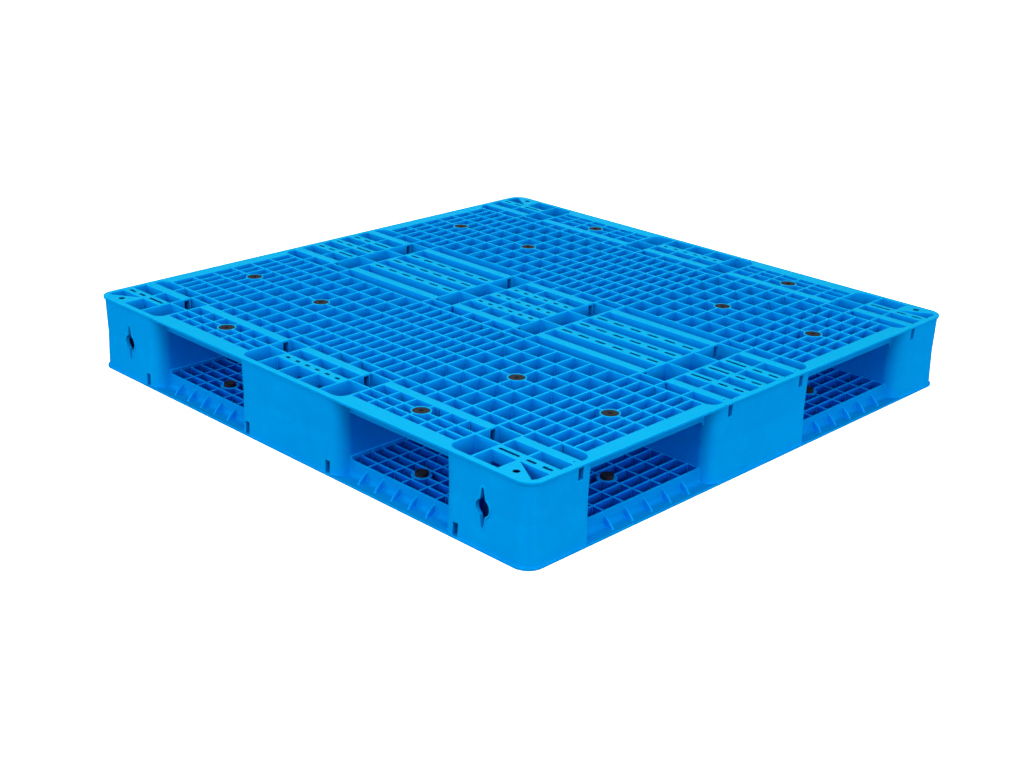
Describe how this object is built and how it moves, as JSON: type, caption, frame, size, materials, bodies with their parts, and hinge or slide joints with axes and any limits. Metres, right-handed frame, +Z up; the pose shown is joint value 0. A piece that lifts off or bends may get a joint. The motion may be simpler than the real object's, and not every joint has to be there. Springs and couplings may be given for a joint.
{
  "type": "plastic pallet",
  "caption": "Square double-faced four-way plastic pallet with a ribbed grid deck on both sides, hollow blocks, fork openings on all four sides and rubber anti-slip plugs.",
  "frame": {"origin": "centre of the underside, on the surface the pallet stands on", "axes": "+X and +Y along the two sides, +X along the channels of the upper deck, +Z up through the decks"},
  "size_m": [1.2, 1.2, 0.15],
  "materials": {
    "moulding": "satin moulded polyolefin",
    "plug_rubber": "matt"
  },
  "bodies": {
    "root": {"upper_deck": "moulding", "lower_deck": "moulding", "upper_plug_01": "plug_rubber", "upper_plug_02": "plug_rubber", "upper_plug_03": "plug_rubber", "upper_plug_04": "plug_rubber", "upper_plug_05": "plug_rubber", "upper_plug_06": "plug_rubber", "upper_plug_07": "plug_rubber", "upper_plug_08": "plug_rubber", "upper_plug_09": "plug_rubber", "upper_plug_10": "plug_rubber", "upper_plug_11": "plug_rubber", "upper_plug_12": "plug_rubber", "lower_plug_01": "plug_rubber", "lower_plug_02": "plug_rubber", "lower_plug_03": "plug_rubber", "lower_plug_04": "plug_rubber", "lower_plug_05": "plug_rubber", "lower_plug_06": "plug_rubber", "lower_plug_07": "plug_rubber", "lower_plug_08": "plug_rubber", "lower_plug_09": "plug_rubber", "lower_plug_10": "plug_rubber", "lower_plug_11": "plug_rubber", "lower_plug_12": "plug_rubber"}
  },
  "joints": []
}
